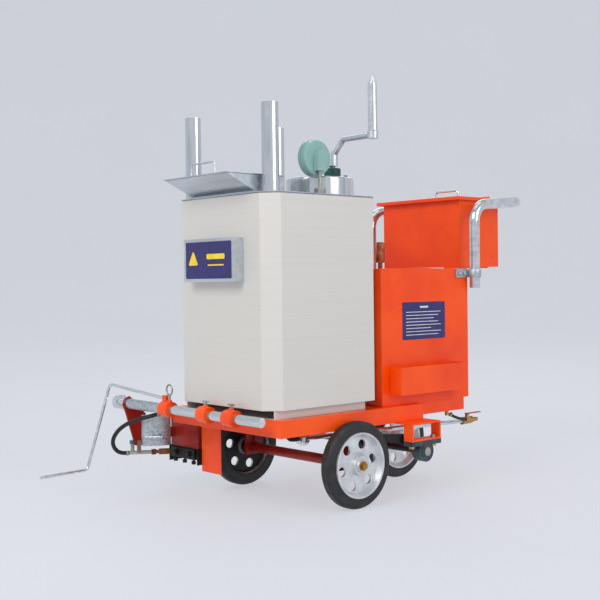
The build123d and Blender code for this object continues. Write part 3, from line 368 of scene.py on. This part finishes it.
def prism(bm, points, place, depth):
    """A closed plate: the outline in place's XY plane, depth along its Z, with a small chamfer."""
    chamfer = min(0.3 * MM, depth / 3)
    centre = sum(points, Vector((0, 0))) / len(points)
    inset = [centre + (p - centre) * (1 - chamfer / max((p - centre).length, 1e-6)) for p in points]
    rings = [(points, 0.0), (points, depth - chamfer), (inset, depth)]
    loops = [[bm.verts.new(place @ Vector((p.x, p.y, z))) for p in ring] for ring, z in rings]
    bm.faces.new(list(reversed(loops[0])))
    bm.faces.new(loops[-1])
    count = len(points)
    for lower, upper in zip(loops, loops[1:]):
        for i in range(count):
            j = (i + 1) % count
            bm.faces.new((lower[i], lower[j], upper[j], upper[i]))


def facing(origin, across, up):
    """A frame at origin with X along across and Y along up, facing their cross product."""
    across, up = Vector(across).normalized(), Vector(up).normalized()
    out = across.cross(up)
    matrix = Matrix((across, up, out)).transposed().to_4x4()
    matrix.translation = Vector(origin)
    return matrix


def lathe(bm, profile, start, direction, steps=48):
    """Turns (along, radius) points round a line."""
    direction = Vector(direction).normalized()
    side = direction.orthogonal().normalized()
    other = direction.cross(side)
    rings = []
    for along, radius in profile:
        centre = Vector(start) + direction * along
        ring = []
        for step in range(steps):
            angle = 2 * math.pi * step / steps
            ring.append(bm.verts.new(centre + radius * (side * math.cos(angle) + other * math.sin(angle))))
        rings.append(ring)
    for first, second in zip(rings, rings[1:]):
        for i in range(steps):
            j = (i + 1) % steps
            bm.faces.new((first[i], first[j], second[j], second[i]))
    bm.faces.new(list(reversed(rings[0])))
    bm.faces.new(rings[-1])


# ---- edges of the carried-over sheet and tube work --------------------------------------
SOFT_EDGES = {
    1.0: "frame_tubes wheel_guard rear_carrier lower_box side_tray bead_box bead_lid axle_hangers info_box",
    0.6: "plinth top_plate feed_chute feed_lid hanger_arm shoe_hopper shoe_base handle_clamps ring_clamps",
}
for width, names in SOFT_EDGES.items():
    for name in names.split():
        weld = nodes[name].modifiers.new("weld", "WELD")
        weld.merge_threshold = 0.01 * MM
        bevel = nodes[name].modifiers.new("edge", "BEVEL")
        bevel.width = width * MM
        bevel.segments = 2
        bevel.limit_method = "ANGLE"
        bevel.angle_limit = math.radians(50)
        bevel.use_clamp_overlap = True
        bevel.harden_normals = False


# ---- plates with generic marks -----------------------------------------------------------
def plate_paint(name, dark, light):
    paint = Surface(name, coat=0.3)
    paint.colour(paint.noise(22.0, 5.0), [(0.35, dark), (0.70, light)])
    paint.rough(paint.noise(50.0, 5.0), 0.28, 0.45)
    paint.bump(paint.noise(800.0, 2.0), 0.0001, 0.2)
    return paint.material


plate_blue = plate_paint("label_blue", srgb(24, 18, 88), srgb(34, 26, 108))
mark_white = plate_paint("mark_white", srgb(206, 208, 214), srgb(232, 233, 238))
mark_yellow = plate_paint("mark_yellow", srgb(236, 200, 30), srgb(250, 220, 54))


def bars(bm, place, rows, thickness):
    """Plain bars where a label would have its lines: (x, y, width, height) in metres."""
    for x, y, width, height in rows:
        outline = [Vector((x + p.x, y + p.y)) for p in panel_points(width, height, height * 0.3, 3)]
        prism(bm, outline, place, thickness)


box_front_y = low["info_box"].y
front_centre = Vector((
    (low["info_box"].x + high["info_box"].x) / 2, box_front_y,
    (low["info_box"].z + high["info_box"].z) / 2))
front_width = high["info_box"].x - low["info_box"].x
front_height = high["info_box"].z - low["info_box"].z
PLATE_THICK = 0.8 * MM
MARK_THICK = 0.25 * MM
plate_place = facing(front_centre, (1, 0, 0), (0, 0, 1))
marks_place = facing(front_centre + Vector((0, -PLATE_THICK, 0)), (1, 0, 0), (0, 0, 1))
info_plate = mesh_from("info_plate", lambda bm: prism(
    bm, panel_points(front_width - 20 * MM, front_height - 18 * MM, 4 * MM), plate_place, PLATE_THICK))
add_piece("info_plate", info_plate, plate_blue, "root", smooth=False)


def info_marks(bm):
    bars(bm, marks_place, [(36 * MM, 10 * MM, 84 * MM, 15 * MM),
                           (36 * MM, -14 * MM, 74 * MM, 4 * MM)], MARK_THICK)


def warning_triangle(bm):
    """A plain triangle with rounded corners."""
    centre = Vector((-0.30 * front_width, 0))
    radius = 25 * MM
    outline = []
    for corner in range(3):
        middle = centre + (radius - 5 * MM) * Vector((math.sin(2 * math.pi * corner / 3),
                                                      math.cos(2 * math.pi * corner / 3)))
        for step in range(-3, 4):
            angle = 2 * math.pi * corner / 3 + math.radians(20 * step)
            outline.append(middle + 4 * MM * Vector((math.sin(angle), math.cos(angle))))
    prism(bm, outline, marks_place, MARK_THICK)


add_piece("info_marks", mesh_from("info_marks", info_marks), mark_yellow, "root", smooth=False)
add_piece("info_triangle", mesh_from("info_triangle", warning_triangle), mark_yellow, "root",
          smooth=False)

side_x = low["side_tray"].x
label_height = 115 * MM
label_width = 196 * MM
label_centre = Vector((
    side_x, (low["side_tray"].y + high["side_tray"].y) / 2 + 8 * MM, high["side_tray"].z + 135 * MM))
side_place = facing(label_centre, (0, 1, 0), (0, 0, 1))
side_marks = facing(label_centre + Vector((0.5 * MM, 0, 0)), (0, 1, 0), (0, 0, 1))
add_piece("side_label", mesh_from("side_label", lambda bm: prism(
    bm, panel_points(label_width, label_height, 3 * MM), side_place, 0.5 * MM)), plate_blue, "root",
    smooth=False)


def side_bars(bm):
    rows = [(0, 42 * MM, 38 * MM, 6 * MM)]
    for line in range(8):
        width = (160 - 34 * (line % 3 == 2) - 12 * (line % 2)) * MM
        rows.append((-(164 * MM - width) / 2, (27 - 10.0 * line) * MM, width, 1.9 * MM))
    bars(bm, side_marks, rows, 0.2 * MM)


add_piece("side_label_bars", mesh_from("side_label_bars", side_bars), mark_white, "root",
          smooth=False)


# ---- hoses -------------------------------------------------------------------------------
# The routes are part.py's, moved with its origin.
TORCH_HOSE_ROUTE = [
    (-465, -301, 112), (-478, -324, 110), (-484, -346, 129), (-474, -357, 157), (-451, -356, 184),
    (-423, -350, 205), (-391, -340, 221), (-360, -322, 233), (-334, -302, 241), (-310, -284, 249),
]
GAS_HOSE_ROUTE = [(188, 486, 219), (191, 510, 208), (191, 536, 200), (189, 560, 195), (184, 582, 192)]


def make_hose(name, route, radius, body):
    curve = bpy.data.curves.new(name, "CURVE")
    curve.dimensions = "3D"
    curve.resolution_u = 12
    curve.bevel_depth = radius * MM
    curve.bevel_resolution = 8
    curve.use_fill_caps = True
    spline = curve.splines.new("NURBS")
    spline.points.add(len(route) - 1)
    for point, place in zip(spline.points, route):
        point.co = (*((Vector(place) + ORIGIN_SHIFT) * MM), 1.0)
    spline.order_u = 3
    spline.use_endpoint_u = True
    piece = add_piece(name + "_flex", curve, hose_rubber, body, smooth=False)
    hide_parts(name)
    return piece


make_hose("torch_hose", TORCH_HOSE_ROUTE, 6.5, "shoe_arm")
make_hose("gas_hose", GAS_HOSE_ROUTE, 4.5, "root")


def hose_clip(name, route, radius, body, at_start):
    """A worm-drive clip round a hose's end: a band with a raised screw housing."""
    first, second = (route[0], route[1]) if at_start else (route[-1], route[-2])
    start = (Vector(first) + ORIGIN_SHIFT) * MM
    along = (Vector(second) - Vector(first)).normalized()
    side = along.orthogonal().normalized()

    def build(bm):
        outer = (radius + 1.1) * MM
        lathe(bm, [(3 * MM, radius * MM), (3 * MM, outer), (9 * MM, outer), (9 * MM, radius * MM)], start, along, 32)
        middle = start + along * 6 * MM + side * outer
        prism(bm, panel_points(9 * MM, 5 * MM, 1 * MM, 3), facing(middle, along.cross(side), along), 3.0 * MM)
    return add_piece(name, mesh_from(name, build), fastener, body, smooth=False)


hose_clip("torch_hose_clip_low", TORCH_HOSE_ROUTE, 6.5, "shoe_arm", True)
hose_clip("torch_hose_clip_high", TORCH_HOSE_ROUTE, 6.5, "shoe_arm", False)
hose_clip("gas_hose_clip_front", GAS_HOSE_ROUTE, 4.5, "root", True)
hose_clip("gas_hose_clip_rear", GAS_HOSE_ROUTE, 4.5, "root", False)


# ---- thermometer dial --------------------------------------------------------------------
dial_centre = Vector((
    low["thermometer_case"].x + 3.4 * MM,
    (low["thermometer_case"].y + high["thermometer_case"].y) / 2,
    low["thermometer_case"].z + 52 * MM + (high["thermometer_case"].z - low["thermometer_case"].z - 104 * MM)))
dial_place = facing(dial_centre, (0, -1, 0), (0, 0, 1))
mark_black = plate_paint("mark_black", srgb(18, 18, 20), srgb(34, 34, 36))
mark_red = plate_paint("mark_red", srgb(176, 18, 20), srgb(206, 34, 30))


def dial_face(bm):
    outline = [45.5 * MM * Vector((math.cos(2 * math.pi * k / 64), math.sin(2 * math.pi * k / 64)))
               for k in range(64)]
    prism(bm, outline, dial_place, 0.5 * MM)


def dial_ticks(bm):
    for tick in range(31):
        angle = math.radians(225 - 9 * tick)
        long_tick = tick % 5 == 0
        inner, outer = (31 if long_tick else 36) * MM, 41 * MM
        half = (0.9 if long_tick else 0.4) * MM
        out = Vector((math.cos(angle), math.sin(angle)))
        side = Vector((-out.y, out.x))
        outline = [out * inner - side * half, out * outer - side * half,
                   out * outer + side * half, out * inner + side * half]
        prism(bm, outline, dial_place @ Matrix.Translation((0, 0, 0.5 * MM)), 0.15 * MM)


def dial_needle(bm):
    out = Vector((math.cos(math.radians(140)), math.sin(math.radians(140))))
    side = Vector((-out.y, out.x))
    outline = [-out * 10 * MM - side * 1.6 * MM, out * 34 * MM, -out * 10 * MM + side * 1.6 * MM]
    prism(bm, outline, dial_place @ Matrix.Translation((0, 0, 0.9 * MM)), 0.3 * MM)


add_piece("dial_face", mesh_from("dial_face", dial_face), mark_white, "root", smooth=False)
add_piece("dial_ticks", mesh_from("dial_ticks", dial_ticks), mark_black, "root", smooth=False)
add_piece("dial_needle", mesh_from("dial_needle", dial_needle), mark_red, "root", smooth=False)


# ---- floor, light and camera -------------------------------------------------------------
def backdrop(bm):
    """A round pale floor that curves up far away, open at the top."""
    steps, flat_radius, sweep, top = 96, 5.0, 9.0, 15.0
    profile = [(3.0, 0.0), (flat_radius, 0.0)]
    for step in range(1, 13):
        angle = math.radians(7.5 * step)
        profile.append((flat_radius + sweep * math.sin(angle), sweep - sweep * math.cos(angle)))
    profile.append((flat_radius + sweep, top))
    rings = []
    for radius, height in profile:
        rings.append([bm.verts.new((radius * math.cos(2 * math.pi * k / steps),
                                    radius * math.sin(2 * math.pi * k / steps), height)) for k in range(steps)])
    bm.faces.new(rings[0])
    for first, second in zip(rings, rings[1:]):
        for k in range(steps):
            j = (k + 1) % steps
            bm.faces.new((first[k], first[j], second[j], second[k]))


studio = Surface("studio_paper")
studio.colour(studio.noise(0.6, 2.0), [(0.3, srgb(122, 124, 128)), (0.7, srgb(126, 128, 132))])
studio.rough(studio.noise(3.0, 2.0), 0.75, 0.85)
studio.shader.inputs["Emission Color"].default_value = srgb(218, 221, 228)
studio.shader.inputs["Emission Strength"].default_value = 0.68
floor = bpy.data.objects.new("floor", mesh_from("floor", backdrop))
bpy.context.scene.collection.objects.link(floor)
floor.data.materials.append(studio.material)
for face in floor.data.polygons:
    face.use_smooth = True

world = bpy.data.worlds.new("studio")
bpy.context.scene.world = world
world.use_nodes = True
world.node_tree.nodes["Background"].inputs["Color"].default_value = srgb(240, 241, 244)
world.node_tree.nodes["Background"].inputs["Strength"].default_value = 0.50

bpy.context.scene.view_settings.view_transform = "Standard"

aim = (cad_low + cad_high) / 2


def soft_light(name, place, size, power, colour=(1, 1, 1)):
    data = bpy.data.lights.new(name, "AREA")
    data.shape = "RECTANGLE"
    data.size, data.size_y = size
    data.energy = power
    data.color = colour
    light = bpy.data.objects.new(name, data)
    light.location = place
    light.rotation_mode = "QUATERNION"
    light.rotation_quaternion = (Vector(place) - aim).to_track_quat("Z", "Y")
    bpy.context.scene.collection.objects.link(light)


soft_light("key", (1.0, -4.2, 3.6), (3.0, 2.4), 128, (1.0, 0.98, 0.95))
soft_light("side", (4.6, 0.6, 2.6), (2.4, 2.6), 60, (1.0, 0.995, 0.985))
soft_light("back", (-3.2, 3.4, 3.4), (2.6, 2.0), 32)
soft_light("top", (0.0, 0.0, 4.8), (3.0, 3.0), 18)

CAMERA_PLACE = (Vector((2385.6, -2082.6, 649.3)) + ORIGIN_SHIFT) * MM
CAMERA_AZIMUTH = math.radians(48.6)
CAMERA_PITCH = math.radians(1.0)
CAMERA_ROLL = math.radians(-0.7)
forward = Vector((-math.sin(CAMERA_AZIMUTH) * math.cos(CAMERA_PITCH),
                  math.cos(CAMERA_AZIMUTH) * math.cos(CAMERA_PITCH), -math.sin(CAMERA_PITCH)))
level = Vector((math.cos(CAMERA_AZIMUTH), math.sin(CAMERA_AZIMUTH), 0))
upright = level.cross(forward)
right = level * math.cos(CAMERA_ROLL) + upright * math.sin(CAMERA_ROLL)
up = -level * math.sin(CAMERA_ROLL) + upright * math.cos(CAMERA_ROLL)
camera_data = bpy.data.cameras.new("camera")
camera_data.lens = 62.7
camera_data.sensor_width = 36
camera_data.clip_end = 100
camera = bpy.data.objects.new("camera", camera_data)
bpy.context.scene.collection.objects.link(camera)
camera.rotation_mode = "QUATERNION"
camera.rotation_quaternion = Matrix((right, up, -forward)).transposed().to_quaternion()
camera.location = CAMERA_PLACE
bpy.context.scene.camera = camera
